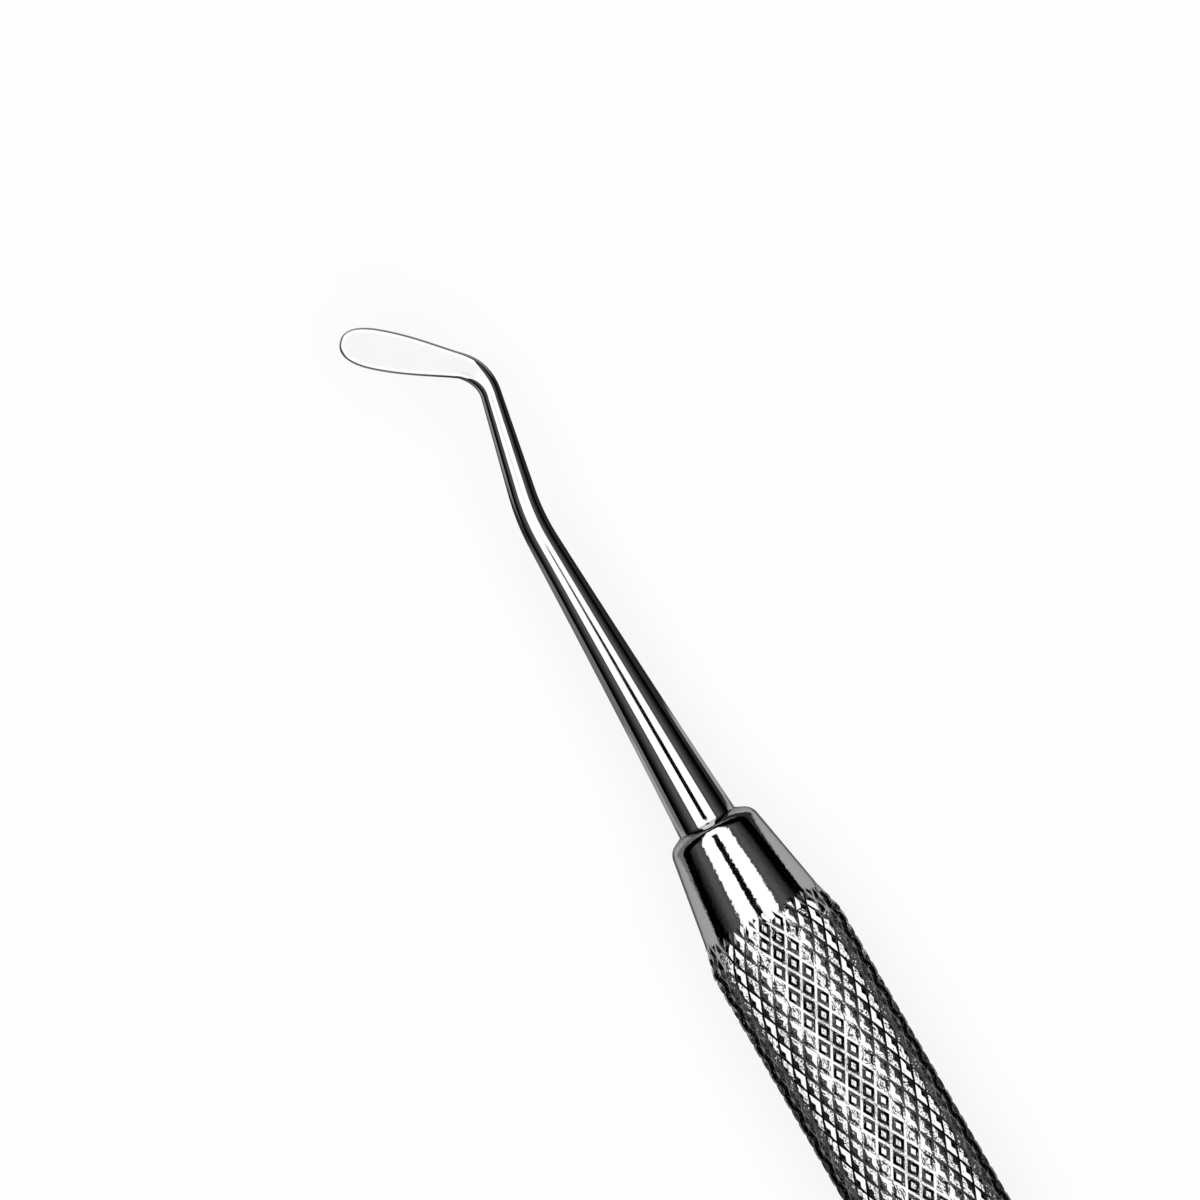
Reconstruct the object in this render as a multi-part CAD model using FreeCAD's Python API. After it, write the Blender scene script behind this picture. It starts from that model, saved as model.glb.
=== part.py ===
import FreeCAD, Part

import math
import os

# A double-ended dental composite instrument, lying on a table.
#
# A hollow steel handle, closed in to a nose at each end and diamond knurled, holds two
# forged working ends. Each is one piece of steel: a tang pressed into the nose, a tapered
# shank, a shallow bend, a neck, a sharp bend and a thin paddle blade.
#
# Millimetres. +X runs along the handle towards the front working end, +Z is up, and the
# origin is the point of the table below the middle of the handle.

Vector = FreeCAD.Vector

# Handle
handle_length = 105.0  # from seat to seat
handle_diameter = 8.0  # over the crests of the knurl and over the plain band
hollow_diameter = 5.6
band_length = 22.0  # the plain band in the middle
band_edge_chamfer = 0.12

# Nose of the handle, its lengths taken from the seat, where the shank comes out
nose_cone_length = 5.75
nose_cone_end_diameter = 7.0
nose_taper_deg = 9.8  # half angle of the cone
nose_front_slope_deg = 26.5  # of the front face, which falls back from the seat
nose_edge_radius = 0.9
nose_bore_length = 9.0

# Diamond knurl
knurl_pitch = 0.8  # square across the grooves
knurl_helix_deg = 30.0
knurl_depth = 0.25
knurl_run_in = 1.85  # length in which the teeth rise from the cone to full height
knurl_start_step = 0.03  # how far the first teeth lie below the edge of the cone

# Working end
tang_length = 8.5
tang_chamfer = 0.3
shank_length = 19.3  # seat to the corner of the first bend
neck_length = 8.5  # corner of the first bend to the corner of the second
blade_length = 8.03  # corner of the second bend to the tip
first_bend_deg = -12.9
second_bend_deg = 61.5
first_bend_radius = 13.0
second_bend_radius = 2.4

shank_base_diameter = 3.46  # also of the tang, and of the bore that it fills
shank_middle_diameter = 2.17
shank_middle_at = 12.0  # from the seat
shank_end_diameter = 1.70  # at the first bend
neck_end_diameter = 1.17  # at the second bend

blade_heel_width = 1.40
blade_width = 2.26
blade_heel_thickness = 0.94
blade_tip_thickness = 0.44
blade_heel_at = 1.1  # from the corner of the second bend
blade_tip_length = 2.28  # from the widest place to the tip
blade_side_swell = 1.3  # more swells later on the way from the heel to the widest place
blade_tip_roundness = 2.45  # exponent of the tip's outline, where 2 is an ellipse

# Weight of the conic arcs of a section: more is squarer
round_section = math.sqrt(0.5)
blade_section = 2.2

# Worked out from the sizes above
handle_radius = handle_diameter / 2
axis_height = handle_radius  # the handle lies on its knurl
seat_x = handle_length / 2
first_bend = math.radians(first_bend_deg)
second_bend = math.radians(second_bend_deg)
blade_widest_at = blade_length - blade_tip_length  # from the corner of the second bend


def knurl_starts():
    """How many grooves of each hand fit round the handle."""
    helix = math.radians(knurl_helix_deg)
    return round(math.pi * handle_diameter * math.cos(helix) / knurl_pitch)


def knurl_row_step():
    """Length along the handle from one ring of knurl corners to the next."""
    half_round_pitch = math.pi * handle_diameter / knurl_starts() / 2
    return half_round_pitch / math.tan(math.radians(knurl_helix_deg))


def crest_radius(from_start):
    """Radius of a knurl crest at a distance from the start of the knurl, at the nose."""
    share = min(1.0, from_start / knurl_run_in)
    start = nose_cone_end_diameter / 2 - knurl_start_step
    return start + share * (handle_radius - start)


def root_radius(from_start):
    """Radius of the corner between four knurl teeth, at the same distance."""
    share = min(1.0, from_start / knurl_run_in)
    return crest_radius(from_start) - share * knurl_depth


def knurl_ring(x, ring, last_ring, from_start):
    """The ring of crests and corners at x. The first and the last ring are all corners."""
    count = 2 * knurl_starts()
    plain = ring in (0, last_ring)
    points = []
    for step in range(count):
        crest = (step + ring) % 2 == 0 and not plain
        radius = crest_radius(from_start) if crest else root_radius(from_start)
        angle = step * 2 * math.pi / count
        points.append(Vector(x, radius * math.cos(angle), radius * math.sin(angle)))
    return points


def triangle(a, b, c):
    return Part.Face(Part.makePolygon([a, b, c, a]))


def knurl_rings():
    """Every ring of the front knurl, from the nose to the plain band."""
    start = seat_x - nose_cone_length
    length = start - band_length / 2
    last_ring = round(length / knurl_row_step())
    step = length / last_ring
    return [
        knurl_ring(start - ring * step, ring, last_ring, ring * step)
        for ring in range(last_ring + 1)
    ]


def knurl_faces(rings):
    """Four flat faces to each pyramid tooth, which meet its neighbours in the grooves."""
    faces = []
    for ring in range(len(rings) - 1):
        here, following = rings[ring], rings[ring + 1]
        for step in range(len(here)):
            a, b = here[step - 1], here[step]
            c, d = following[step], following[step - 1]
            groove_is_ac = (step - 1 + ring) % 2 == 1
            if groove_is_ac:
                faces += [triangle(a, b, c), triangle(a, c, d)]
            else:
                faces += [triangle(a, b, d), triangle(b, c, d)]
    return faces


def circle_wire(x, radius):
    circle = Part.Circle(Vector(x, 0, 0), Vector(1, 0, 0), radius)
    return Part.Wire(circle.toShape())


def shoulder(x, radius, ring):
    """The flat ring between a turned edge and the knurl beside it."""
    outline = [circle_wire(x, radius), Part.makePolygon(ring + ring[:1])]
    return Part.makeFace(outline, "Part::FaceMakerBullseye")


def turned(chain):
    """The faces that a chain of lines and arcs sweeps when it turns about the X axis."""
    return chain.revolve(Vector(0, 0, 0), Vector(1, 0, 0), 360).Faces


def turned_both_ends(half):
    """The faces turned from (x, radius) points and their mirror images in x."""
    whole = half + [(-x, radius) for x, radius in reversed(half)]
    return turned(Part.makePolygon([Vector(x, 0, radius) for x, radius in whole]))


def nose_faces():
    """The cone, its rounded front edge and the front face, down to the bore's mouth."""
    mouth = Vector(seat_x, 0, shank_base_diameter / 2)
    cone_end = Vector(seat_x - nose_cone_length, 0, nose_cone_end_diameter / 2)
    taper = math.radians(nose_taper_deg)
    front_slope = math.radians(nose_front_slope_deg)
    cone_line = Vector(-math.cos(taper), 0, math.sin(taper))
    front_line = Vector(math.sin(front_slope), 0, -math.cos(front_slope))

    span = mouth - cone_end
    spread = math.cos(taper) * math.cos(front_slope) - math.sin(taper) * math.sin(front_slope)
    cone_reach = (span.x * math.cos(front_slope) + span.z * math.sin(front_slope)) / spread
    corner = cone_end - cone_line * cone_reach

    half_angle = front_line.getAngle(cone_line) / 2
    widest_reach = 0.9 * (mouth - corner).Length
    reach = min(widest_reach, nose_edge_radius / math.tan(half_angle))
    rounding = reach * math.tan(half_angle)
    inward = (front_line + cone_line).normalize()
    arc_centre = corner + inward * (rounding / math.sin(half_angle))
    on_front = corner + front_line * reach
    on_cone = corner + cone_line * reach
    arc_middle = arc_centre - inward * rounding

    chain = Part.Wire(
        [
            Part.LineSegment(mouth, on_front).toShape(),
            Part.Arc(on_front, arc_middle, on_cone).toShape(),
            Part.LineSegment(on_cone, cone_end).toShape(),
        ]
    )
    return turned(chain)


def inside_faces():
    """The two nose bores and the hollow between them."""
    bore_radius = shank_base_diameter / 2
    hollow_radius = hollow_diameter / 2
    bore_end_x = seat_x - nose_bore_length
    hollow_end_x = bore_end_x - (hollow_radius - bore_radius)
    return turned_both_ends(
        [(seat_x, bore_radius), (bore_end_x, bore_radius), (hollow_end_x, hollow_radius)]
    )


def band_faces():
    edge_x = band_length / 2
    edge_radius = handle_radius - band_edge_chamfer
    return turned_both_ends([(edge_x, edge_radius), (edge_x - band_edge_chamfer, handle_radius)])


def front_half_skin():
    """Nose and knurl of the front half, up to the edge of the plain band."""
    rings = knurl_rings()
    cone_end_x = seat_x - nose_cone_length
    edge_radius = handle_radius - band_edge_chamfer
    faces = nose_faces() + knurl_faces(rings)
    faces.append(shoulder(cone_end_x, nose_cone_end_diameter / 2, rings[0]))
    faces.append(shoulder(band_length / 2, edge_radius, rings[-1]))
    return Part.makeCompound(faces)


def handle():
    """The handle's whole skin, sewn into one solid."""
    front = front_half_skin()
    rear = turned_round(front)
    skin = Part.makeCompound(front.Faces + rear.Faces + band_faces() + inside_faces())
    skin.sewShape()
    solid = Part.Solid(skin.Shells[0])
    if solid.Volume < 0:
        solid.reverse()
    return solid


def turned_round(shape):
    """The same shape at the other end of the handle: half a turn about the Z axis."""
    other = shape.copy()
    other.rotate(Vector(0, 0, 0), Vector(0, 0, 1), 180)
    return other


def heading(angle):
    return Vector(math.cos(angle), math.sin(angle), 0)


class Centreline:
    """The bent line through a working end, in the plane of the handle's axis."""

    def __init__(self):
        self.start = Vector(seat_x, 0, 0)
        first_reach = first_bend_radius * math.tan(abs(first_bend) / 2)
        second_reach = second_bend_radius * math.tan(abs(second_bend) / 2)
        neck_angle = first_bend
        blade_angle = first_bend + second_bend
        self.runs = [
            ("line", shank_length - first_reach, 0.0),
            ("arc", first_bend_radius * abs(first_bend), first_bend),
            ("line", neck_length - first_reach - second_reach, neck_angle),
            ("arc", second_bend_radius * abs(second_bend), second_bend),
            ("line", blade_length - second_reach, blade_angle),
        ]
        ends = [0.0]
        for _, length, _ in self.runs:
            ends.append(ends[-1] + length)
        self.first_bend_start, self.first_bend_end = ends[1], ends[2]
        self.second_bend_start, self.second_bend_end = ends[3], ends[4]
        self.tip = ends[5]
        self.blade_corner = self.tip - blade_length

    def at(self, distance):
        """The point at a distance from the seat, and the heading there."""
        point, angle = self.start, 0.0
        for kind, length, turn in self.runs:
            part = min(distance, length)
            if kind == "line":
                point = point + heading(angle) * part
            else:
                turned = turn * part / length
                radius = length / turn
                chord = 2 * radius * math.sin(turned / 2)
                point = point + heading(angle + turned / 2) * chord
                angle += turned
            distance -= part
            if distance <= 0:
                break
        return point, angle


def between(low, high, share):
    return low + (high - low) * share


def smooth(share):
    return share * share * (3 - 2 * share)


def spaced(start, end, count):
    """Start, end and the points that divide the stretch between them into count parts."""
    return [between(start, end, step / count) for step in range(count + 1)]


def section_wire(line, distance, half_width, half_thickness, squareness):
    """A section square to the centreline, of four conic arcs from side to top and round."""
    centre, angle = line.at(distance)
    side = heading(angle + math.pi / 2) * half_width
    top = Vector(0, 0, half_thickness)
    ends = [side, top, side * -1, top * -1]
    arcs = []
    for here, following in zip(ends, ends[1:] + ends[:1]):
        arc = Part.BezierCurve()
        arc.setPoles([centre + here, centre + here + following, centre + following])
        arc.setWeight(2, squareness)
        arcs.append(arc.toShape())
    return Part.Wire(arcs)


def neck_sections(line, start, end, count):
    """Round (distance, half width, half thickness, squareness) in the first bend and neck."""
    taper_start, taper_end = line.first_bend_start, line.second_bend_start
    sections = []
    for distance in spaced(start, end, count):
        share = (distance - taper_start) / (taper_end - taper_start)
        radius = between(shank_end_diameter, neck_end_diameter, share) / 2
        sections.append((distance, radius, radius, round_section))
    return sections


def heel_sections(line):
    """The same through the second bend, where the round neck is flattened to the heel."""
    start, end = line.second_bend_start, line.blade_corner + blade_heel_at
    sections = []
    for share in spaced(0, 1, 6):
        flattening = smooth(share)
        sections.append(
            (
                between(start, end, share),
                between(neck_end_diameter, blade_heel_width, flattening) / 2,
                between(neck_end_diameter, blade_heel_thickness, flattening) / 2,
                between(round_section, blade_section, flattening),
            )
        )
    return sections


def blade_half_thickness(from_corner):
    share = (from_corner - blade_heel_at) / (blade_length - blade_heel_at)
    return between(blade_heel_thickness, blade_tip_thickness, share) / 2


def blade_sections(line):
    """The same along the blade, from the heel to its widest place."""
    sections = []
    for share in spaced(0, 1, 3):
        from_corner = between(blade_heel_at, blade_widest_at, share)
        swell = math.sin(share * math.pi / 2) ** blade_side_swell
        half_width = between(blade_heel_width, blade_width, swell) / 2
        half_thickness = blade_half_thickness(from_corner)
        sections.append(
            (line.blade_corner + from_corner, half_width, half_thickness, blade_section)
        )
    return sections


def tip_sections(line):
    """The same from the widest place to the tip, where the outline is rounded off."""
    sections = []
    for turn in spaced(0, math.pi / 2, 11)[:-1]:
        share = math.sin(turn)
        from_corner = between(blade_widest_at, blade_length, share)
        narrowing = (1 - share**blade_tip_roundness) ** (1 / blade_tip_roundness)
        half_width = narrowing * blade_width / 2
        half_thickness = math.sqrt(narrowing) * blade_half_thickness(from_corner)
        sections.append(
            (line.blade_corner + from_corner, half_width, half_thickness, blade_section)
        )
    return sections


def lofted(line, sections):
    wires = [section_wire(line, *section) for section in sections]
    return Part.makeLoft(wires, True, False, False, 3)


def tang_and_shank(line):
    """The tang in the nose bore and the tapered shank, turned about the handle's axis."""
    tang_radius = shank_base_diameter / 2
    tang_start_x = seat_x - tang_length
    shank_end_x = seat_x + line.first_bend_start
    profile = [
        (tang_start_x, 0),
        (tang_start_x, tang_radius - tang_chamfer),
        (tang_start_x + tang_chamfer, tang_radius),
        (seat_x, tang_radius),
        (seat_x + shank_middle_at, shank_middle_diameter / 2),
        (shank_end_x, shank_end_diameter / 2),
        (shank_end_x, 0),
    ]
    corners = [Vector(x, 0, radius) for x, radius in profile]
    half_section = Part.Face(Part.makePolygon(corners + corners[:1]))
    return half_section.revolve(Vector(0, 0, 0), Vector(1, 0, 0), 360)


def working_end():
    """One forging: tang, shank, neck and blade."""
    line = Centreline()
    first_bend_run = neck_sections(line, line.first_bend_start, line.first_bend_end, 3)
    neck_run = neck_sections(line, line.first_bend_end, line.second_bend_start, 1)
    runs = [first_bend_run, neck_run, heel_sections(line), blade_sections(line), tip_sections(line)]
    forging = tang_and_shank(line).multiFuse([lofted(line, run) for run in runs])
    return forging.Solids[0]


def lifted(shape):
    """The shape raised so that the handle's lowest crests touch the table."""
    raised = shape.copy()
    raised.translate(Vector(0, 0, axis_height))
    return raised


def main():
    front = working_end()
    parts = {
        "handle": handle(),
        "front_working_end": front,
        "rear_working_end": turned_round(front),
    }
    os.makedirs("parts", exist_ok=True)
    for name, shape in parts.items():
        solid = lifted(shape)
        solid.exportStep(os.path.join("parts", name + ".step"))
        print(name, solid.ShapeType, solid.isValid(), "volume", round(solid.Volume, 3))


main()
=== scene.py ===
import math

import bmesh
import bpy
import numpy as np
from mathutils import Matrix, Vector

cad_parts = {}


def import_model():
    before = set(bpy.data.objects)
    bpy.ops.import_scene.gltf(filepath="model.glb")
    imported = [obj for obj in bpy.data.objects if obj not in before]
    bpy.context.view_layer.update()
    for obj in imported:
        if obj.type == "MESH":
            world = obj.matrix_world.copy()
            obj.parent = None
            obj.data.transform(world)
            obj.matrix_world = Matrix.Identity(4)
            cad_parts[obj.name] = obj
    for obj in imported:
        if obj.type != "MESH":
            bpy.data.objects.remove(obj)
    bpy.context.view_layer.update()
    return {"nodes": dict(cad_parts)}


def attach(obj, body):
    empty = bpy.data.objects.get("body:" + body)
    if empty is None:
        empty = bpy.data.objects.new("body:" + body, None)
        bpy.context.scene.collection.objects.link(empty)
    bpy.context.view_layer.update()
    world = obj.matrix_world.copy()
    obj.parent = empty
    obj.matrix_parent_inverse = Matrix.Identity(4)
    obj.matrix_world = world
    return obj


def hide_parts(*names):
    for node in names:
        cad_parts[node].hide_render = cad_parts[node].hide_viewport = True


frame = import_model()
print("frame loaded:", ", ".join(sorted(frame["nodes"])))

mm = 0.001


class Wire:
    # one output socket of a node tree: Python sums on it add Math nodes to the tree
    def __init__(self, tree, socket=None):
        self.tree = tree
        self.socket = socket

    # any other node: its type, its settings, the values or links of its inputs
    def node(self, kind, settings=None, inputs=None, out=0):
        made = self.tree.nodes.new(kind)
        for name, value in (settings or {}).items():
            if name == "stops":
                ramp = made.color_ramp.elements
                while len(ramp) < len(value):
                    ramp.new(0.5)
                for stop, (place, level) in zip(ramp, value):
                    stop.position = place
                    stop.color = (level, level, level, 1)
            else:
                setattr(made, name, value)
        for name, value in (inputs or {}).items():
            if isinstance(value, Wire):
                self.tree.links.new(value.socket, made.inputs[name])
            else:
                made.inputs[name].default_value = value
        return Wire(self.tree, made.outputs[out] if len(made.outputs) else None)

    # a Math node: this socket first, then the others
    def math(self, operation, *others):
        inputs = dict(enumerate((self, *others)))
        return self.node("ShaderNodeMath", {"operation": operation}, inputs)

    def output(self, name):
        return Wire(self.tree, self.socket.node.outputs[name])

    def __add__(self, other):
        return self.math("ADD", other)

    __radd__ = __add__

    def __sub__(self, other):
        return self.math("SUBTRACT", other)

    def __rsub__(self, other):
        return self.node("ShaderNodeMath", {"operation": "SUBTRACT"}, {0: other, 1: self})

    def __mul__(self, other):
        return self.math("MULTIPLY", other)

    __rmul__ = __mul__

    def __truediv__(self, other):
        return self.math("DIVIDE", other)

    def __mod__(self, other):
        return self.math("FLOORED_MODULO", other)

    def __abs__(self):
        return self.math("ABSOLUTE")

    def smaller(self, other):
        return self.math("MINIMUM", other)

    # 0 before low, 1 after high, and a smooth step between them
    def rise(self, low, high):
        inputs = {"Value": self, "From Min": low, "From Max": high}
        return self.node("ShaderNodeMapRange", {"interpolation_type": "SMOOTHSTEP"}, inputs)

    # the same with a straight ramp
    def ramp(self, low, high):
        inputs = {"Value": self, "From Min": low, "From Max": high}
        return self.node("ShaderNodeMapRange", {}, inputs)


handleSteel = {
    "colour": 0.60,
    "colourSpread": 0.05,
    "coolness": 1.01,  # blue against red and green
    "patchSize": 4 * mm,
    "roughness": 0.075,
    "roughnessSpread": 0.07,
    "hazeSize": 1.3 * mm,
    "edgeTint": 0.78,
    "turningLine": 0.06 * mm,
    "turningDepth": 0.00004 * mm,
    "rippleSize": 0.30 * mm,
    "rippleStretch": 1.6,
    "rippleDepth": 0.0080 * mm,
    "knurlFrom": 11.0 * mm,
    "knurlTo": 46.2 * mm,
    "knurlFade": 0.8 * mm,
    "pressedSize": 0.14 * mm,
    "pressedDepth": 0.020 * mm,
}

workingEndSteel = {
    "colour": 0.61,
    "colourSpread": 0.03,
    "coolness": 1.01,
    "patchSize": 3 * mm,
    "roughness": 0.045,
    "roughnessSpread": 0.03,
    "hazeSize": 0.9 * mm,
    "edgeTint": 0.78,
    "streakWidth": 0.12 * mm,
    "streakLength": 2.5 * mm,
    "streakDepth": 0.00006 * mm,
    "rippleSize": 1.6 * mm,
    "rippleDepth": 0.0012 * mm,
}


def emptyMaterial(name):
    material = bpy.data.materials.new(name)
    material.use_nodes = True
    tree = material.node_tree
    tree.nodes.clear()
    start = Wire(tree)
    place = start.node("ShaderNodeTexCoord", out="Object")
    return material, start, place


def noise(place, size, detail, stretch=(1, 1, 1)):
    scale = tuple(s / size for s in stretch)
    spread = place.node("ShaderNodeMapping", {"vector_type": "POINT"}, {"Vector": place, "Scale": scale})
    return place.node("ShaderNodeTexNoise", {}, {"Vector": spread, "Scale": 1.0, "Detail": detail})


def bump(height, depth, under=None):
    inputs = {"Height": height, "Strength": 1.0, "Distance": depth}
    if under is not None:
        inputs["Normal"] = under
    return height.node("ShaderNodeBump", {}, inputs)


def finishSteel(start, look, patches, haze, normal):
    greys = (look["colour"] - look["colourSpread"], look["colour"] + look["colourSpread"])
    dark, light = ((grey, grey, grey * look["coolness"], 1) for grey in greys)
    colour = start.node("ShaderNodeMix", {"data_type": "RGBA"}, {0: patches, 6: dark, 7: light}, out=2)
    roughness = haze * look["roughnessSpread"] + (look["roughness"] - look["roughnessSpread"] / 2)
    steel = start.node(
        "ShaderNodeBsdfPrincipled",
        {},
        {
            "Base Color": colour,
            "Metallic": 1.0,
            "Roughness": roughness,
            "Specular Tint": (look["edgeTint"], look["edgeTint"], look["edgeTint"], 1),
            "Normal": normal,
        },
    )
    start.node("ShaderNodeOutputMaterial", {}, {"Surface": steel})


def makeHandleSteel(look):
    material, start, place = emptyMaterial("handleSteel")
    patches = noise(place, look["patchSize"], 3)
    haze = noise(place, look["hazeSize"], 4)
    ripple = noise(place, look["rippleSize"], 1.5, (look["rippleStretch"], 1, 1))
    turning = noise(place, look["turningLine"], 1.0, (1, 0.01, 0.01))
    # the pressed teeth are less even than the turned nose and band
    fromMiddle = abs(start.node("ShaderNodeSeparateXYZ", {}, {"Vector": place}))
    toothed = fromMiddle.ramp(look["knurlTo"], look["knurlTo"] - look["knurlFade"])
    toothed = toothed * fromMiddle.math("GREATER_THAN", look["knurlFrom"])
    pressed = noise(place, look["pressedSize"], 1.0) * toothed
    rough = bump(pressed, look["pressedDepth"])
    wavy = bump(ripple, look["rippleDepth"], rough)
    normal = bump(turning, look["turningDepth"], wavy)
    finishSteel(start, look, patches, haze, normal)
    return material


def makeWorkingEndSteel(look):
    material, start, place = emptyMaterial("workingEndSteel")
    patches = noise(place, look["patchSize"], 3)
    haze = noise(place, look["hazeSize"], 4)
    ripple = noise(place, look["rippleSize"], 1.0)
    shorter = look["streakWidth"] / look["streakLength"]
    streaks = noise(place, look["streakWidth"], 2.0, (shorter, 1, 1))
    wavy = bump(ripple, look["rippleDepth"])
    normal = bump(streaks, look["streakDepth"], wavy)
    finishSteel(start, look, patches, haze, normal)
    return material


steelOfHandle = makeHandleSteel(handleSteel)
steelOfEnds = makeWorkingEndSteel(workingEndSteel)
print("steels made")


def putInScene(name, data):
    made = bpy.data.objects.new(name, data)
    bpy.context.scene.collection.objects.link(made)
    return made


axisHeight = 4.0 * mm

nose = {
    "seat": 52.5 * mm,
    "boreRadius": 1.73 * mm,
    "boreEnd": 43.5 * mm,
    "hollowRadius": 2.8 * mm,
    "coneEnd": 46.75 * mm,
    "coneEndRadius": 3.5 * mm,
    "taper": math.radians(9.8),
    "frontSlope": math.radians(26.5),
    "edgeRadius": 0.9 * mm,
    "arcPoints": 15,
    "conePoints": 9,
}

band = {
    "halfLength": 11.0 * mm,
    "radius": 4.0 * mm,
    "chamfer": 0.12 * mm,
}

knurl = {
    "starts": 27,
    "rowsOfTeeth": 44,
    "crestRadius": 4.0 * mm,
    "depth": 0.145 * mm,
    "groove": 0.17,
    "slope": 0.255,
    "shoulder": 1.85 * mm,
    "fadeIn": 0.9 * mm,
    "fadeOut": 0.25 * mm,
    "unevenness": 0.020 * mm,
    "wobbleScale": 0.9,
    "speckleScale": 4.0,
    "seed": 7,
    "speckleSeed": 3.7,  # past the first
    "teethApart": 0.001 * mm,  # points nearer than this are one
    "skinsApart": 0.002 * mm,
}

stepsPerTooth = 5  # half a groove, a slope, the top, a slope and half a groove


def ringTurns():
    # where the teeth of a row meet the smooth skin before and behind them
    foot = 1 - knurl["groove"]
    shoulder = foot - 2 * knurl["slope"]
    edges = (-foot, -shoulder, shoulder, foot, 1.0)
    teeth = range(knurl["starts"])
    return [(2 * tooth + edge) * math.pi / knurl["starts"] for tooth in teeth for edge in edges]


def noseOutline():
    mouth = np.array([nose["seat"], nose["boreRadius"]])
    coneEnd = np.array([nose["coneEnd"], nose["coneEndRadius"]])
    alongCone = np.array([-math.cos(nose["taper"]), math.sin(nose["taper"])])
    alongFront = np.array([math.sin(nose["frontSlope"]), -math.cos(nose["frontSlope"])])
    reach = np.linalg.solve(np.array([alongFront, alongCone]).T, mouth - coneEnd)
    corner = mouth - alongFront * reach[0]
    halfAngle = math.acos(float(alongFront @ alongCone)) / 2
    tangent = nose["edgeRadius"] / math.tan(halfAngle)
    tangent = min(tangent, 0.9 * float(np.linalg.norm(mouth - corner)))
    radius = tangent * math.tan(halfAngle)
    inward = (alongFront + alongCone) / np.linalg.norm(alongFront + alongCone)
    centre = corner + inward * radius / math.sin(halfAngle)
    first = corner + alongFront * tangent - centre
    last = corner + alongCone * tangent - centre
    angles = np.linspace(math.atan2(first[1], first[0]), math.atan2(last[1], last[0]), nose["arcPoints"])
    arc = [centre + radius * np.array([math.cos(angle), math.sin(angle)]) for angle in angles]
    shares = np.linspace(0, 1, nose["conePoints"])[1:]
    cone = [arc[-1] + (coneEnd - arc[-1]) * share for share in shares]
    return [mouth, (mouth + arc[0]) / 2, *arc, *cone]


def turnedSkin(outlines):
    points, faces, smoothFaces = [], [], []
    turns = ringTurns()
    ringPoints = len(turns)
    for outline, smooth in outlines:
        base = len(points)
        for x, radius in outline:
            for turn in turns:
                points.append((x, radius * math.cos(turn), axisHeight + radius * math.sin(turn)))
        for ring in range(len(outline) - 1):
            for step in range(ringPoints):
                a = base + ring * ringPoints + step
                b = base + ring * ringPoints + (step + 1) % ringPoints
                faces.append((a, a + ringPoints, b + ringPoints, b))
                smoothFaces.append(smooth)
    mesh = bpy.data.meshes.new("turnedSkin")
    mesh.from_pydata(points, [], faces)
    mesh.polygons.foreach_set("use_smooth", smoothFaces)
    return mesh


def handleOutlines():
    front = noseOutline()
    rear = [(-x, radius) for x, radius in reversed(front)]
    edge, chamfer = band["halfLength"], band["chamfer"]
    bandLine = [
        (edge, band["radius"] - chamfer),
        (edge - chamfer, band["radius"]),
        (-edge + chamfer, band["radius"]),
        (-edge, band["radius"] - chamfer),
    ]
    flat = [(edge, knurl["crestRadius"] - knurl["depth"]), (edge, band["radius"] - chamfer)]
    flatRear = [(-x, radius) for x, radius in reversed(flat)]
    boreStep = nose["hollowRadius"] - nose["boreRadius"]
    inside = [
        (nose["seat"], nose["boreRadius"]),
        (nose["boreEnd"], nose["boreRadius"]),
        (nose["boreEnd"] - boreStep, nose["hollowRadius"]),
    ]
    inside = [(-x, radius) for x, radius in inside] + inside[::-1]
    return [
        (front, True),
        (flat, False),
        (bandLine[0:2], False),
        (bandLine[1:3], True),
        (bandLine[2:4], False),
        (flatRear, False),
        (rear, True),
        (inside, False),
    ]


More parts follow.
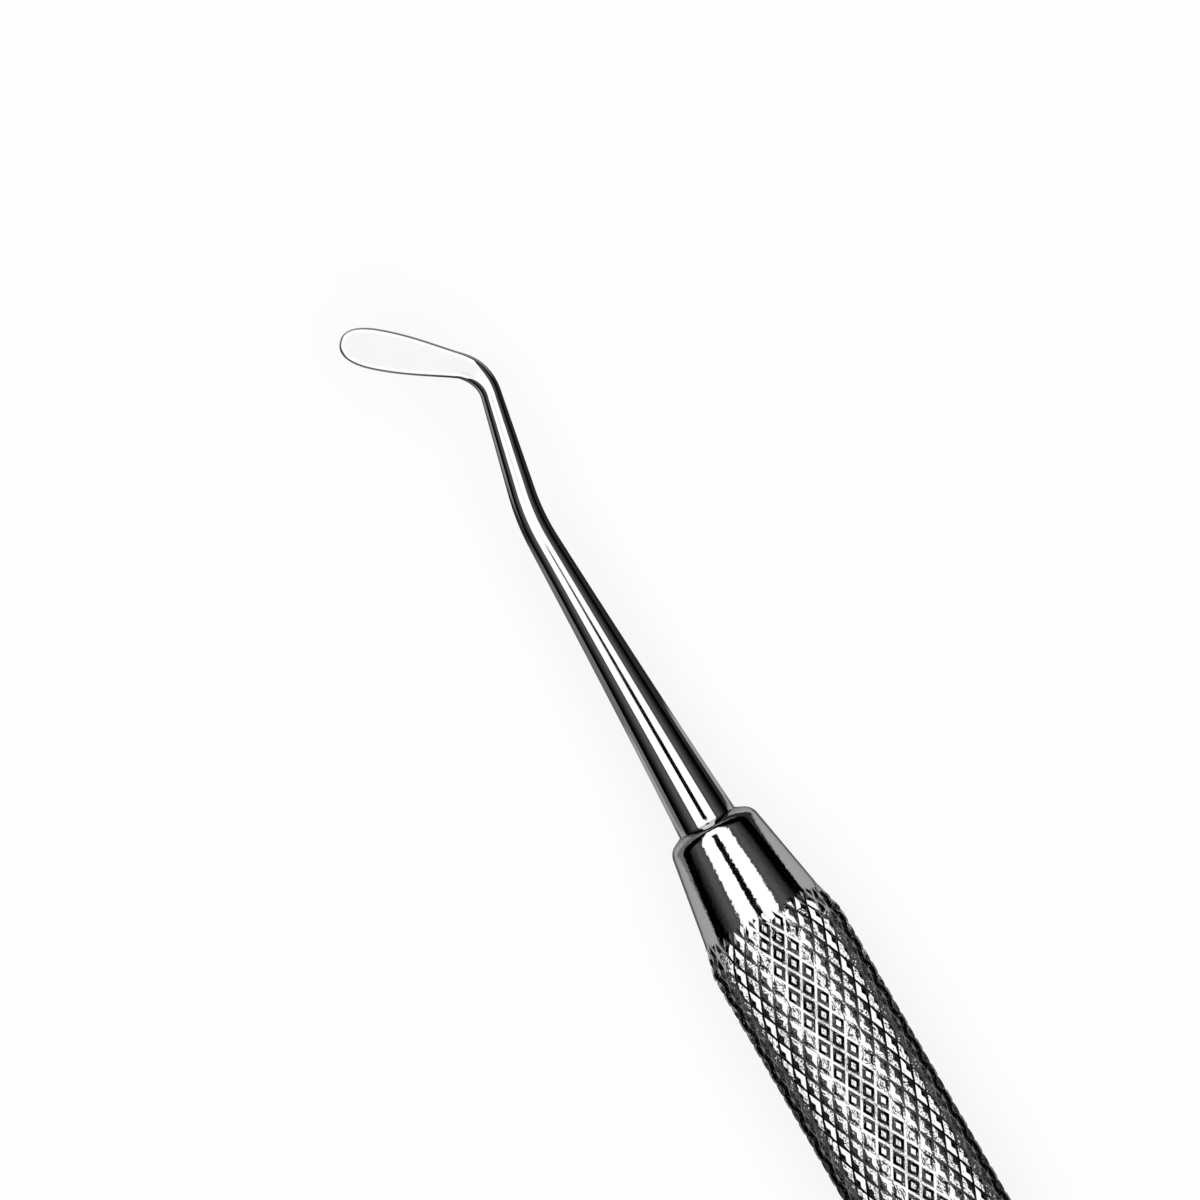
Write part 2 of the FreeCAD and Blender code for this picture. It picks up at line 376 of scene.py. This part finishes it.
def knurlTree():
    tree = bpy.data.node_groups.new("knurledSkin", "GeometryNodeTree")
    sizes = {
        "Rows": ("NodeSocketInt", knurl["rowsOfTeeth"]),
        "Starts": ("NodeSocketInt", knurl["starts"]),
        "Start": ("NodeSocketFloat", nose["coneEnd"]),
        "End": ("NodeSocketFloat", band["halfLength"]),
        "Start Radius": ("NodeSocketFloat", nose["coneEndRadius"]),
        "Crest Radius": ("NodeSocketFloat", knurl["crestRadius"]),
        "Tooth Depth": ("NodeSocketFloat", knurl["depth"]),
        "Groove": ("NodeSocketFloat", knurl["groove"]),
        "Slope": ("NodeSocketFloat", knurl["slope"]),
        "Shoulder": ("NodeSocketFloat", knurl["shoulder"]),
        "Fade In": ("NodeSocketFloat", knurl["fadeIn"]),
        "Fade Out": ("NodeSocketFloat", knurl["fadeOut"]),
        "Unevenness": ("NodeSocketFloat", knurl["unevenness"]),
        "Axis Height": ("NodeSocketFloat", axisHeight),
        "Seed": ("NodeSocketInt", knurl["seed"]),
    }
    face = tree.interface
    face.new_socket("Turned Skin", in_out="INPUT", socket_type="NodeSocketGeometry")
    for name, (kind, value) in sizes.items():
        face.new_socket(name, in_out="INPUT", socket_type=kind).default_value = value
    face.new_socket("Steel", in_out="INPUT", socket_type="NodeSocketMaterial")
    face.new_socket("Handle", in_out="OUTPUT", socket_type="NodeSocketGeometry")

    given = Wire(tree).node("NodeGroupInput")
    size = {name: given.output(name) for name in sizes}
    length = size["Start"] - size["End"]
    rowStep = length / size["Rows"]
    halfTooth = size["Crest Radius"] * math.pi / size["Starts"]
    place = given.node("GeometryNodeInputPosition")
    split = given.node("ShaderNodeSeparateXYZ", {}, {"Vector": place})
    x, y, z = (split.output(axis) for axis in "XYZ")

    # one tooth as a square, its sides along the two hands: half a groove, slope, top, slope, half a groove
    corners = {"Size X": 1.0, "Size Y": 1.0, "Vertices X": stepsPerTooth + 1, "Vertices Y": stepsPerTooth + 1}
    square = given.node("GeometryNodeMeshGrid", {}, corners)
    halfStep = 0.5 / stepsPerTooth
    onDiagonal = abs(x - y).math("LESS_THAN", halfStep) * abs(x + y).math("GREATER_THAN", halfStep)
    creased = {"Mesh": square, "Selection": onDiagonal}
    ridges = given.node("GeometryNodeTriangulate", {"quad_method": "FIXED"}, creased)
    cut = given.node("GeometryNodeTriangulate", {"quad_method": "FIXED_ALTERNATE"}, {"Mesh": ridges})
    top = 1 - size["Groove"] - size["Slope"] * 2

    def sideOfTooth(side):
        ends = [step / stepsPerTooth for step in range(stepsPerTooth + 1)]
        steps = [(side + 0.5).ramp(low, high) for low, high in zip(ends, ends[1:])]
        halfGrooves, slopes = steps[0] + steps[4], steps[1] + steps[3]
        along = halfGrooves * size["Groove"] / 2 + slopes * size["Slope"] + steps[2] * top
        return along, steps[1] - steps[3]

    alongOne, riseOne = sideOfTooth(x)
    alongOther, riseOther = sideOfTooth(y)
    rhombus = given.node(
        "ShaderNodeCombineXYZ",
        {},
        {
            "X": (alongOne + alongOther) * rowStep,
            "Y": (alongOther - alongOne) * halfTooth,
            "Z": riseOne.smaller(riseOther),
        },
    )
    formed = given.node("GeometryNodeSetPosition", {}, {"Geometry": cut, "Position": rhombus})
    flat = {"Geometry": formed, "Shade Smooth": False}
    tooth = given.node("GeometryNodeSetShadeSmooth", {"domain": "FACE"}, flat)

    # teeth in rows on a flat sheet, every other row moved on by half a tooth
    number = given.node("GeometryNodeInputIndex")
    row = (number / size["Starts"]).math("FLOOR")
    across = (number % size["Starts"]) * 2 + row % 2
    spot = given.node("ShaderNodeCombineXYZ", {}, {"X": (row - 1) * rowStep, "Y": across * halfTooth})
    count = (size["Rows"] + 1) * size["Starts"]
    spots = given.node("GeometryNodePoints", {}, {"Count": count, "Position": spot})
    teeth = given.node("GeometryNodeInstanceOnPoints", {}, {"Points": spots, "Instance": tooth})
    sheet = given.node("GeometryNodeRealizeInstances", {}, {"Geometry": teeth})
    outside = x.math("LESS_THAN", 0.0) + x.math("GREATER_THAN", length)
    surplus = {"Geometry": sheet, "Selection": outside}
    trimmed = given.node("GeometryNodeDeleteGeometry", {"domain": "FACE"}, surplus)

    # the sheet is wrapped round the handle, and the teeth rise out of the smooth cone
    toEnd = length - x
    turn = y / size["Crest Radius"]
    cosine, sine = turn.math("COSINE"), turn.math("SINE")
    inMm = knurl["crestRadius"] / mm
    around = given.node("ShaderNodeCombineXYZ", {}, {"X": x / mm, "Y": cosine * inMm, "Z": sine * inMm})

    def unevenness(seed, scale, detail):
        inputs = {"Vector": around, "W": seed, "Scale": scale, "Detail": detail}
        return given.node("ShaderNodeTexNoise", {"noise_dimensions": "4D"}, inputs)

    wobble = unevenness(size["Seed"], knurl["wobbleScale"], 2.0)
    speckle = unevenness(size["Seed"] + knurl["speckleSeed"], knurl["speckleScale"], 1.0)
    fadeIn = (x / (size["Fade In"] * (wobble + 0.5))).smaller(1.0)
    fadeOut = (toEnd / size["Fade Out"]).smaller(1.0)
    shoulder = (x / size["Shoulder"]).smaller(1.0)
    crest = size["Start Radius"] + (size["Crest Radius"] - size["Start Radius"]) * shoulder
    uneven = (speckle - 0.5).smaller(0.0) * size["Unevenness"] * (x / mm).smaller(1.0) * fadeOut
    radius = crest - size["Tooth Depth"] * fadeIn * (1 - z * fadeOut) + uneven
    skin = {"X": size["Start"] - x, "Y": radius * cosine, "Z": radius * sine}
    wrapped = given.node("ShaderNodeCombineXYZ", {}, skin)
    rolled = given.node("GeometryNodeSetPosition", {}, {"Geometry": trimmed, "Position": wrapped})
    nearby = {"Geometry": rolled, "Distance": knurl["teethApart"]}
    closed = given.node("GeometryNodeMergeByDistance", {}, nearby)

    # the same skin at both ends of the handle
    middle = given.node("ShaderNodeCombineXYZ", {}, {"Z": size["Axis Height"]})
    ends = given.node("GeometryNodePoints", {}, {"Count": 2, "Position": middle})
    turns = {"X": number * math.pi / size["Starts"], "Z": number * math.pi}
    spin = given.node("ShaderNodeCombineXYZ", {}, turns)
    placed = {"Points": ends, "Instance": closed, "Rotation": spin}
    halves = given.node("GeometryNodeInstanceOnPoints", {}, placed)
    knurls = given.node("GeometryNodeRealizeInstances", {}, {"Geometry": halves})
    joined = given.node("GeometryNodeJoinGeometry")
    for part in (given.output("Turned Skin"), knurls):
        tree.links.new(part.socket, joined.socket.node.inputs["Geometry"])
    nearby = {"Geometry": joined, "Distance": knurl["skinsApart"]}
    whole = given.node("GeometryNodeMergeByDistance", {}, nearby)
    real = given.node("GeometryNodeRealizeInstances", {}, {"Geometry": whole})
    dressed = {"Geometry": real, "Material": given.output("Steel")}
    steel = given.node("GeometryNodeSetMaterial", {}, dressed)
    given.node("NodeGroupOutput", {}, {"Handle": steel})
    return tree, sizes


def plainMesh(worker, name):
    depsgraph = bpy.context.evaluated_depsgraph_get()
    mesh = bpy.data.meshes.new_from_object(worker.evaluated_get(depsgraph))
    mesh.name = name
    bpy.data.objects.remove(worker)
    return putInScene(name, mesh)


def makeHandle():
    worker = putInScene("handleWorker", turnedSkin(handleOutlines()))
    tree, sizes = knurlTree()
    modifier = worker.modifiers.new("knurl", "NODES")
    modifier.node_group = tree
    for item in tree.interface.items_tree:
        if item.in_out == "INPUT" and item.name in sizes:
            modifier[item.identifier] = sizes[item.name][1]
        if item.name == "Steel":
            modifier[item.identifier] = steelOfHandle
    return plainMesh(worker, "knurledHandle")


handle = makeHandle()
print("handle made:", len(handle.data.polygons), "faces")
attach(handle, "root")
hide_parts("handle")


forging = {
    "tangLength": 8.5 * mm,
    "tangChamfer": 0.3 * mm,
    "shankLength": 19.3 * mm,
    "neckLength": 8.5 * mm,
    "bladeLength": 8.03 * mm,
    "firstBend": math.radians(-12.9),
    "secondBend": math.radians(61.5),
    "firstBendRadius": 13.0 * mm,
    "secondBendRadius": 2.4 * mm,
    "baseRadius": 1.73 * mm,
    "baseTaper": 0.062,
    "shankTaper": 0.039,
    "firstBendHalf": 0.85 * mm,
    "secondBendHalf": 0.585 * mm,
    "neckTaper": 0.031,
    "secondBendTaper": 0.026,
    "heelAt": 1.1 * mm,
    "heelHalf": 0.70 * mm,
    "bladeHalf": 1.13 * mm,
    "bladeTaper": 0.0415,
    "tipLength": 2.28 * mm,
    "sideSwell": 1.3,
    "tipRoundness": 2.45,
    "facetStart": math.radians(5),
    "facetRun": 3 * mm,
    "flattenFrom": -0.9 * mm,
    "flattenTo": 1.7 * mm,
    "rimTilt": math.radians(16.95),
    "rimWidth": 0.15 * mm,
    "edgeWidth": 0.13 * mm,
    "lean": 0.03 * mm,
    "shankStations": 42,
    "neckStations": 44,
    "bendStations": 40,
    "bladeStations": 50,
    "tipStations": 40,
    "flatSteps": 8,
    "rimSteps": 3,
    "edgeSteps": 13,
    "sharpFrom": math.radians(9.5),
    "pointsApart": 0.0005 * mm,
}


def bentLine(spec):
    firstReach = spec["firstBendRadius"] * math.tan(abs(spec["firstBend"]) / 2)
    secondReach = spec["secondBendRadius"] * math.tan(abs(spec["secondBend"]) / 2)
    runs = [
        (spec["shankLength"] - firstReach, 0.0),
        (spec["firstBendRadius"] * abs(spec["firstBend"]), spec["firstBend"]),
        (spec["neckLength"] - firstReach - secondReach, 0.0),
        (spec["secondBendRadius"] * abs(spec["secondBend"]), spec["secondBend"]),
        (spec["bladeLength"] - secondReach, 0.0),
    ]
    marks = [0.0]
    for length, bend in runs:
        marks.append(marks[-1] + length)

    def at(distance):
        point, heading = np.array([nose["seat"], 0.0]), 0.0
        for length, bend in runs:
            part = min(distance, length)
            turned = bend * part / length
            chord = part if bend == 0 else 2 * length / bend * math.sin(turned / 2)
            middle = heading + turned / 2
            point = point + chord * np.array([math.cos(middle), math.sin(middle)])
            heading += turned
            distance -= part
            if distance <= 0:
                break
        return point, heading

    return at, marks


def eased(share):
    share = min(1.0, max(0.0, share))
    return share * share * (3 - 2 * share)


def hermite(share, span, start, startSlope, end, endSlope):
    s2, s3 = share * share, share**3
    return (
        (2 * s3 - 3 * s2 + 1) * start
        + (s3 - 2 * s2 + share) * span * startSlope
        + (3 * s2 - 2 * s3) * end
        + (s3 - s2) * span * endSlope
    )


def forgingStations(spec, marks):
    # (distance from the seat, half width) from the tang's end to the tip
    shankEnd, secondStart, tip = marks[1], marks[3], marks[5]
    heel = tip - spec["bladeLength"] + spec["heelAt"]
    widest = tip - spec["tipLength"]
    base = spec["baseRadius"]
    tangStart = -spec["tangLength"]
    stations = [
        (tangStart, base - spec["tangChamfer"]),
        (tangStart + spec["tangChamfer"], base),
        (-0.02 * mm, base),
    ]

    def shares(count):
        return np.linspace(0, 1, count)[:-1]

    def runOf(start, end, share, half):
        stations.append((start + share * (end - start), half))

    first = (base, -spec["baseTaper"])
    last = (spec["firstBendHalf"], -spec["shankTaper"])
    for share in shares(spec["shankStations"]):
        runOf(0, shankEnd, share, hermite(share, shankEnd, *first, *last))
    first = (spec["firstBendHalf"], -spec["neckTaper"])
    last = (spec["secondBendHalf"], -spec["neckTaper"])
    for share in shares(spec["neckStations"]):
        runOf(shankEnd, secondStart, share, hermite(share, secondStart - shankEnd, *first, *last))
    for share in shares(spec["bendStations"]):
        wider = (spec["heelHalf"] - spec["secondBendHalf"]) * eased(share)
        runOf(secondStart, heel, share, spec["secondBendHalf"] + wider)
    for share in shares(spec["bladeStations"]):
        swell = math.sin(share * math.pi / 2) ** spec["sideSwell"]
        runOf(heel, widest, share, spec["heelHalf"] + (spec["bladeHalf"] - spec["heelHalf"]) * swell)
    n = spec["tipRoundness"]
    for turn in np.linspace(0, math.pi / 2, spec["tipStations"]):
        share = math.sin(turn)
        runOf(widest, tip, share, spec["bladeHalf"] * max(0.0, 1 - share**n) ** (1 / n))
    return np.array(stations)


def forgingDepth(spec, marks, distance):
    # half the thickness: the round section's radius, then the flat faces of the blade
    secondStart, tip = marks[3], marks[5]
    heel = tip - spec["bladeLength"] + spec["heelAt"]
    along = distance - secondStart
    span = heel - secondStart
    steeper = (spec["bladeTaper"] - spec["secondBendTaper"]) / span**2
    inBend = np.clip(along, 0, span)
    return (
        spec["secondBendHalf"]
        - spec["secondBendTaper"] * inBend
        - steeper * inBend**3 / 3
        - spec["bladeTaper"] * np.maximum(along - span, 0)
    )


def roundQuarter(spec, half, depth, beforeBend):
    # a quarter of the round section, which the plane of the face cuts more and more in the second bend
    flatSteps, roundSteps = spec["flatSteps"], spec["rimSteps"] + spec["edgeSteps"]
    inBend = beforeBend < 0
    radius = spec["secondBendHalf"] if inBend else half
    evenFacet = math.pi / 2 * flatSteps / (flatSteps + roundSteps)
    facet = spec["facetStart"] + (evenFacet - spec["facetStart"]) * eased(beforeBend / spec["facetRun"])
    facet = max(facet, math.acos(min(1.0, depth / radius)))
    flatTurns = facet * np.arange(flatSteps) / flatSteps
    turns = np.append(flatTurns, np.linspace(facet, math.pi / 2, roundSteps + 1))
    side, up = half * np.sin(turns), radius * np.cos(turns)
    if inBend:
        side[:flatSteps] = side[flatSteps] * np.arange(flatSteps) / flatSteps
        up[:flatSteps] = up[flatSteps]
    return side, up


def bladeQuarter(spec, marks, station, depth):
    # a quarter of the blade, from the middle of the face out to the edge: the flat, the rim, the edge
    distance, half, alongLine, acrossLine = station
    flatSteps, rimSteps, edgeSteps = spec["flatSteps"], spec["rimSteps"], spec["edgeSteps"]
    rimDrop = spec["rimWidth"] * math.tan(spec["rimTilt"])
    tilts = np.linspace(spec["rimTilt"], math.pi / 2, edgeSteps + 1)[:-1]
    edgeTurn = np.append(np.arctan2(depth - rimDrop, spec["edgeWidth"] * np.tan(tilts)), 0.0)
    edgeIn = spec["edgeWidth"] * (1 - np.cos(edgeTurn))
    rimIn = edgeIn[0] + spec["rimWidth"] * np.linspace(1, 0, rimSteps + 1)[:-1]
    inside = np.append(rimIn, edgeIn)
    line = distance + inside * acrossLine
    side = np.maximum(half - inside * alongLine, 0.0)
    depths = forgingDepth(spec, marks, line)
    rimUp = depths[:rimSteps] - rimDrop * np.linspace(0, 1, rimSteps + 1)[:-1]
    edgeUp = (depths[rimSteps:] - rimDrop) * np.sin(edgeTurn) / math.sin(edgeTurn[0])
    up = np.append(rimUp, edgeUp)
    line = np.append(np.full(flatSteps, line[0]), line)
    side = np.append(side[0] * (np.arange(flatSteps) / flatSteps), side)
    up = np.append(np.full(flatSteps, up[0]), up)
    return line, side, up


def fourQuarters(line, side, up):
    # upper right, lower right, lower left, upper left
    line = np.concatenate([line[:-1], line[:0:-1], line[:-1], line[:0:-1]])
    side = np.concatenate([-side[:-1], -side[:0:-1], side[:-1], side[:0:-1]])
    up = np.concatenate([up[:-1], -up[:0:-1], -up[:-1], up[:0:-1]])
    return zip(line, side, up)


def forgingRings(spec):
    at, marks = bentLine(spec)
    stations = forgingStations(spec, marks)
    distances, halves = stations[:, 0], stations[:, 1]
    corner = marks[5] - spec["bladeLength"]
    ahead, across = np.gradient(distances), np.gradient(halves)
    ahead[-1], across[-1] = 0.0, -1.0  # the outline is square to the line at the tip
    length = np.hypot(ahead, across)
    rings = []
    for station in zip(distances, halves, ahead / length, across / length):
        distance, half = station[:2]
        depth = half if distance <= marks[3] else float(forgingDepth(spec, marks, distance))
        roundSide, roundUp = roundQuarter(spec, half, depth, marks[3] - distance)
        bladeLine, bladeSide, bladeUp = bladeQuarter(spec, marks, station, depth)
        flattened = (distance - corner - spec["flattenFrom"]) / (spec["flattenTo"] - spec["flattenFrom"])
        flatness = eased(flattened)
        line = distance + (bladeLine - distance) * flatness
        side = roundSide + (bladeSide - roundSide) * flatness
        up = roundUp + (bladeUp - roundUp) * flatness
        ring = []
        for l, n, z in fourQuarters(line, side, up):
            point, heading = at(max(l, 0.0))
            if l < 0:
                point = point + np.array([l, 0.0])
            n = n + eased((l - corner) / spec["bladeLength"]) * spec["lean"]
            x, y = point[0] - n * math.sin(heading), point[1] + n * math.cos(heading)
            ring.append((x, y, axisHeight + z))
        rings.append(ring)
    return rings


def forgingMesh(spec):
    rings = forgingRings(spec)
    around = len(rings[0])
    points = [point for ring in rings for point in ring]
    faces = [tuple(range(around))]  # the tang's end
    for ring in range(len(rings) - 1):
        for step in range(around):
            a = ring * around + step
            b = ring * around + (step + 1) % around
            faces.append((a, b, b + around, a + around))
    mesh = bpy.data.meshes.new("forging")
    mesh.from_pydata(points, [], faces)
    shape = bmesh.new()
    shape.from_mesh(mesh)
    bmesh.ops.remove_doubles(shape, verts=shape.verts, dist=spec["pointsApart"])
    bmesh.ops.recalc_face_normals(shape, faces=shape.faces)
    shape.to_mesh(mesh)
    shape.free()
    mesh.polygons.foreach_set("use_smooth", [True] * len(mesh.polygons))
    mesh.set_sharp_from_angle(angle=spec["sharpFrom"])
    return mesh


def makeWorkingEnd(name, turned):
    mesh = forgingMesh(forging)
    mesh.name = name
    if turned:
        mesh.transform(Matrix.Rotation(math.pi, 4, "Z"))
    mesh.materials.append(steelOfEnds)
    return putInScene(name, mesh)


frontEnd = makeWorkingEnd("frontWorkingEnd", False)
rearEnd = makeWorkingEnd("rearWorkingEnd", True)
for piece, node in ((frontEnd, "front_working_end"), (rearEnd, "rear_working_end")):
    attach(piece, "root")
    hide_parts(node)
print("working ends made:", len(frontEnd.data.polygons), "faces each")


floorLook = {
    "halfSize": 3.0,
    "colour": 0.96,
    "whiteShare": 0.85,
    "cardHeight": 0.02 * mm,
    "cardHalfSize": 2.9,
}

# painted reflections: the greys of a card that only the steel sees, laid out beside each length of the
# instrument so that the steel's lower side shows darker reflections there
paintedReflectionGreys = {
    "knurlNear": 0.03,
    "knurlMiddle": 0.30,
    "knurlFar": 0.08,
    "nose": 0.60,
    "noseNear": 0.22,
    "shankLeft": 0.26,
    "neckLeft": 0.05,
    "right": 0.04,
    "blade": 0.38,
}

# where one grey of the painted reflection card goes over into the next, in millimetres from the handle's
# middle or from its axis
paintedReflectionEdges = {
    "neck": (69, 72),
    "axis": (-0.3, 0.3),
    "blade": (79, 83),
    "bend": (74, 77),
    "besideBend": (2.5, 4),
    "shank": (58, 60),
    "besideShank": (7.5, 9),
    "nose": (52.6, 54),
    "besideNose": (5.4, 6.2),
    "knurl": (46, 47.5),
    "knurlMiddleFrom": (8, 10),
    "knurlMiddleTo": (13, 16),
    "knurlFar": (14, 18),
    "rim": (26, 34),
}


def seenBy(start):
    rays = start.node("ShaderNodeLightPath")
    return [rays.output("Is " + ray + " Ray") for ray in ("Camera", "Glossy", "Transmission")]


def stagePlane(name, half, height, material):
    mesh = bpy.data.meshes.new(name)
    corners = [(-half, -half, height), (half, -half, height), (half, half, height), (-half, half, height)]
    mesh.from_pydata(corners, [], [(0, 1, 2, 3)])
    mesh.materials.append(material)
    plane = putInScene(name, mesh)
    return plane


def makeFloor():
    material, start, place = emptyMaterial("paleFloor")
    grey = floorLook["colour"]
    paint = start.node("ShaderNodeBsdfDiffuse", {}, {"Color": (grey, grey, grey, 1), "Roughness": 1.0})
    white = start.node("ShaderNodeEmission", {}, {"Color": (1, 1, 1, 1), "Strength": 1.0})
    camera, glossy, clear = seenBy(start)
    seen = (camera + glossy + clear).smaller(1.0)
    floor = start.node("ShaderNodeMixShader", {}, {0: seen * floorLook["whiteShare"], 1: paint, 2: white})
    start.node("ShaderNodeOutputMaterial", {}, {"Surface": floor})
    stagePlane("floor", floorLook["halfSize"], 0.0, material)


def makePaintedReflectionCard():
    # a sheet on the floor that only the steel sees, painted grey part by part: it puts painted reflections,
    # the dark edges and bands, on the steel
    material, start, place = emptyMaterial("paintedReflectionCard")
    split = start.node("ShaderNodeSeparateXYZ", {}, {"Vector": place})
    x, y = split.output("X"), split.output("Y")
    along, left = abs(x) / mm, y / mm * x.math("SIGN")
    aside = abs(left)

    def blend(first, second, share):
        return first + (second - first) * share

    def past(distance, edge):
        return distance.rise(*paintedReflectionEdges[edge])

    def before(distance, edge):
        return 1 - past(distance, edge)

    greys = paintedReflectionGreys
    grey = blend(greys["shankLeft"], greys["neckLeft"], past(along, "neck"))
    grey = blend(grey, greys["right"], before(left, "axis"))
    blade = past(along, "blade") + past(left, "besideBend") * past(along, "bend")
    grey = blend(grey, greys["blade"], blade.smaller(1.0))
    grey = blend(grey, greys["nose"], before(along, "shank") * before(aside, "besideShank"))
    noseGrey = blend(greys["noseNear"], greys["nose"], past(aside, "besideNose"))
    grey = blend(grey, noseGrey, before(along, "nose"))
    knurlMiddle = past(aside, "knurlMiddleFrom") * before(aside, "knurlMiddleTo")
    knurlGrey = blend(greys["knurlNear"], greys["knurlMiddle"], knurlMiddle)
    knurlGrey = blend(knurlGrey, greys["knurlFar"], past(aside, "knurlFar"))
    grey = blend(grey, knurlGrey, before(along, "knurl"))
    grey = grey * before(aside, "rim")
    # the card's colour is painted reflection greys, not a colour of the instrument
    colour = start.node("ShaderNodeCombineColor", {}, {"Red": grey, "Green": grey, "Blue": grey})
    paint = start.node("ShaderNodeBsdfDiffuse", {}, {"Color": colour})
    start.node("ShaderNodeOutputMaterial", {}, {"Surface": paint})
    card = stagePlane("paintedReflectionCard", floorLook["cardHalfSize"], floorLook["cardHeight"], material)
    card.visible_camera = False
    card.visible_diffuse = False
    card.visible_transmission = False
    card.visible_shadow = False


makeFloor()
makePaintedReflectionCard()


studio = {
    "boxLight": 1.70,
    "boxAcross": 38.5,
    "boxAlong": 75.0,
    "boxSoftness": (0.7, 2),  # across, along
    "dimLight": 1.54,
    "dimAlong": 3.3,
    "dimAcross": 3.7,
    "dimRadius": 2.6,
    "dimSoftness": 0.3,
    "slitStart": 4.3,
    "slitEnd": 35.9,
    "slitHalf": 9.6,
    "slitEndHalf": 6.4,
    "slitTip": 4.0,
    "slitSpread": 6.0,
    "slitShift": 2.5,
    "slitNarrows": (5, 7.5),
    "slitStraightens": (5, 7),
    "slitSoftness": (0.4, 0.5),  # across, along
    "slitStartSoftness": 0.3,
    "greyLight": 0.15,
    "greyFades": (42, 62),
}

# how grey the studio's sides are, as shares of the way from overhead down to the horizon
sideGreys = [
    (0.44, 0.45),
    (0.50, 0.8),
    (0.57, 0.9),
    (0.63, 0.7),
    (0.69, 0.5),
    (0.76, 0.3),
    (0.84, 0.13),
    (0.92, 0.03),
    (1.0, 0.0),
]


def makeStudio(look):
    world = bpy.data.worlds.new("studio")
    bpy.context.scene.world = world
    world.use_nodes = True
    tree = world.node_tree
    tree.nodes.clear()
    start = Wire(tree)
    direction = start.node("ShaderNodeTexCoord", out="Generated")
    split = start.node("ShaderNodeSeparateXYZ", {}, {"Vector": direction})
    x, y, z = (split.output(axis) for axis in "XYZ")
    degree = 180 / math.pi
    sideways = (y * x.math("SIGN")).math("ARCTAN2", z) * degree  # from straight up, square to the handle
    across = abs(sideways)
    along = abs(x).math("ARCTAN2", z) * degree  # the same, along the handle

    def upTo(angle, end, softness):
        return 1 - angle.rise(end - softness, end + softness)

    acrossSoft, alongSoft = look["boxSoftness"]
    box = upTo(across, look["boxAcross"], acrossSoft) * upTo(along, look["boxAlong"], alongSoft)
    # a gap between two boxes, the dark line down the middle, that runs out to one side over the bend
    acrossSoft, alongSoft = look["slitSoftness"]
    narrower = along.ramp(*look["slitNarrows"]) * (look["slitHalf"] - look["slitEndHalf"])
    slitWidth = ((along - look["slitTip"]) * look["slitSpread"]).smaller(look["slitHalf"] - narrower)
    slitMiddle = (1 - along.ramp(*look["slitStraightens"])) * look["slitShift"]
    fromSlit = abs(sideways + slitMiddle) - slitWidth
    slit = upTo(fromSlit, 0.0, acrossSoft) * upTo(along, look["slitEnd"], alongSoft)
    slit = slit * along.rise(look["slitStart"], look["slitStart"] + look["slitStartSoftness"])
    # one dim patch, that the blade's face reflects
    asideOfDim, aheadOfDim = across - look["dimAcross"], along - look["dimAlong"]
    fromDim = (asideOfDim * asideOfDim + aheadOfDim * aheadOfDim).math("SQRT")
    dim = upTo(fromDim, look["dimRadius"], look["dimSoftness"])
    boxLevel = (look["boxLight"] - dim * (look["boxLight"] - look["dimLight"])) * (1 - slit)
    sides = start.node("ShaderNodeValToRGB", {"stops": sideGreys}, {"Fac": across / 90})
    side = start.node("ShaderNodeSeparateColor", {}, {"Color": sides})
    sideLevel = side * look["greyLight"] * (1 - along.rise(*look["greyFades"]))
    level = box * boxLevel + (1 - box) * sideLevel

    # white, as the camera sees it past the floor's edge, and steel and glass below the horizon
    camera, glossy, clear = seenBy(start)
    below = 1 - z.rise(-0.01, 0.0)
    seen = camera + (glossy + clear) * below
    strength = level + (1 - level) * seen.smaller(1.0)
    sky = start.node("ShaderNodeBackground", {}, {"Color": (1, 1, 1, 1), "Strength": strength})
    start.node("ShaderNodeOutputWorld", {}, {"Surface": sky})


makeStudio(studio)
print("floor and light made")


shot = {
    "lookAt": (66.0 * mm, -1.07 * mm, axisHeight),
    "upwards": (0.8641, -0.5033, 0.0),
    "distance": 2.0,
    "frameWidth": 65.75 * mm,
    "sensor": 36.0,
}


def makeCamera():
    data = bpy.data.cameras.new("camera")
    camera = putInScene("camera", data)
    up = Vector(shot["upwards"]).normalized()
    back = Vector((0, 0, 1))
    right = up.cross(back)
    turn = Matrix((right, up, back)).transposed().to_4x4()
    camera.matrix_world = Matrix.Translation(Vector(shot["lookAt"]) + back * shot["distance"]) @ turn
    data.sensor_width = shot["sensor"]
    data.lens = shot["sensor"] * shot["distance"] / shot["frameWidth"]
    data.clip_start, data.clip_end = 0.01, 10.0
    bpy.context.scene.camera = camera


makeCamera()
bpy.context.scene.view_settings.view_transform = "Standard"

print("camera made")
